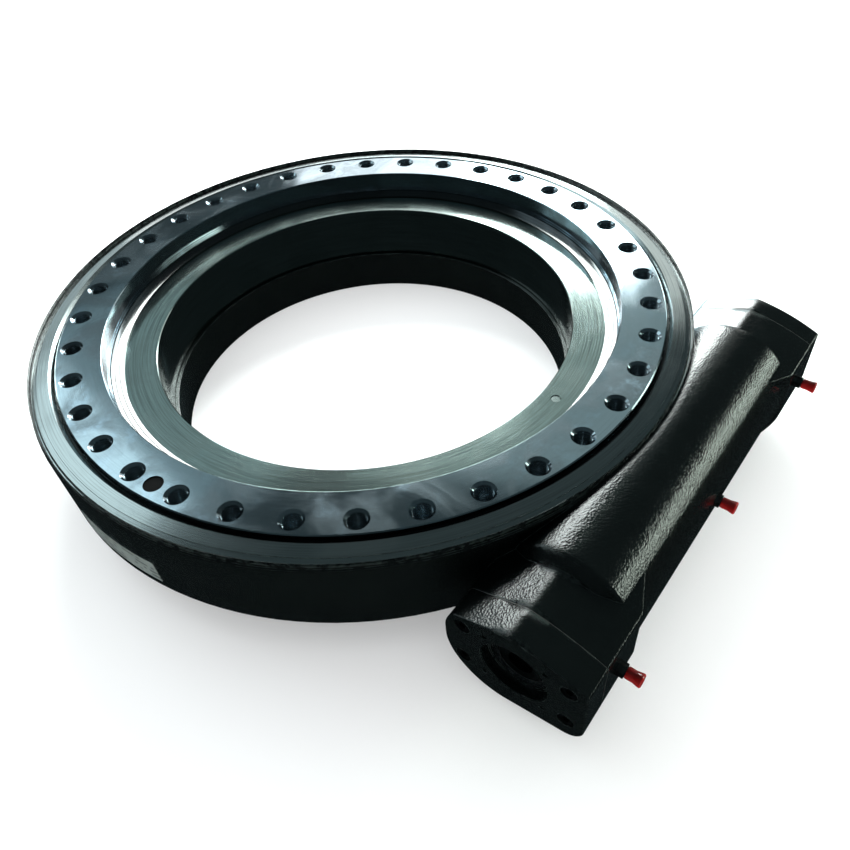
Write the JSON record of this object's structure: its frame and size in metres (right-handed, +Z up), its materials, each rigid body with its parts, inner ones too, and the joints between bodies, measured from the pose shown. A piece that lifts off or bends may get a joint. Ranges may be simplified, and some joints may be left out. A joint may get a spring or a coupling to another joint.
{
  "type": "slewing ring bearing",
  "caption": "Enclosed worm slew drive: a ball slewing ring with a tapped top ring, turned by a worm in a cast housing with a tangential worm tube.",
  "frame": {"origin": "centre of the ring's axis in the bottom mounting face", "axes": "+Z up along the ring's axis, +X from the ring's centre to the worm tube, +Y along the worm from the motor end to the closed end"},
  "size_m": [0.7826, 0.695, 0.139],
  "materials": {
    "housing_paint": "black gloss paint over a cast surface",
    "ring_steel": "ground steel with an oil film",
    "race_steel": "turned steel",
    "pin_steel": "ground steel",
    "screw_steel": "black oxide",
    "seal_rubber": "smooth black rubber",
    "plug_plastic": "matt black",
    "ball_steel": "polished",
    "spacer_plastic": "natural nylon",
    "worm_steel": "ground steel",
    "bearing_steel": "ground and polished",
    "cage_steel": "pressed steel",
    "gasket_paper": "fibre gasket sheet",
    "nipple_steel": "painted over",
    "cap_plastic": "glossy red",
    "label_film": "satin grey film"
  },
  "bodies": {
    "housing_body": {"housing": "housing_paint", "inner_race": "race_steel", "loading_plug": "race_steel", "plug_taper_pin": "pin_steel", "race_bolts": "screw_steel", "rim_seal": "seal_rubber", "input_bearing_cup": "bearing_steel", "end_bearing_cup": "bearing_steel", "input_cover": "housing_paint", "end_cover": "housing_paint", "input_cover_gasket": "gasket_paper", "end_cover_gasket": "gasket_paper", "input_cover_screws": "screw_steel", "end_cover_screws": "screw_steel", "input_shaft_seal": "seal_rubber", "grease_nipples": "nipple_steel", "nipple_caps": "cap_plastic", "label": "label_film"},
    "ring_body": {"gear_ring": "ring_steel", "lip_seal": "seal_rubber", "ring_hole_plug": "plug_plastic"},
    "ball_body": {"balls": "ball_steel", "ball_spacers": "spacer_plastic"},
    "worm_body": {"worm_shaft": "worm_steel", "input_bearing_cone": "bearing_steel", "end_bearing_cone": "bearing_steel"},
    "input_roller_body": {"input_bearing_rollers": "bearing_steel", "input_bearing_cage": "cage_steel"},
    "end_roller_body": {"end_bearing_rollers": "bearing_steel", "end_bearing_cage": "cage_steel"}
  },
  "joints": [
    {"name": "ring_turn", "type": "hinge", "parent": "housing_body", "child": "ring_body", "pos_m": [0, 0, 0.077], "axis": [0, 0, 1], "continuous": true},
    {"name": "ball_orbit", "type": "hinge", "parent": "housing_body", "child": "ball_body", "pos_m": [0, 0, 0.077], "axis": [0, 0, 1], "continuous": true},
    {"name": "worm_spin", "type": "hinge", "parent": "housing_body", "child": "worm_body", "pos_m": [0.352, 0, 0.075], "axis": [0, 1, 0], "continuous": true},
    {"name": "input_roller_orbit", "type": "hinge", "parent": "housing_body", "child": "input_roller_body", "pos_m": [0.352, -0.1926, 0.075], "axis": [0, 1, 0], "continuous": true},
    {"name": "end_roller_orbit", "type": "hinge", "parent": "housing_body", "child": "end_roller_body", "pos_m": [0.352, 0.1926, 0.075], "axis": [0, 1, 0], "continuous": true}
  ],
  "couplings": [
    {"joint": "ball_orbit", "follows": "ring_turn", "ratio": 0.517},
    {"joint": "worm_spin", "follows": "ring_turn", "ratio": -90},
    {"joint": "input_roller_orbit", "follows": "ring_turn", "ratio": -40},
    {"joint": "end_roller_orbit", "follows": "ring_turn", "ratio": -40}
  ]
}
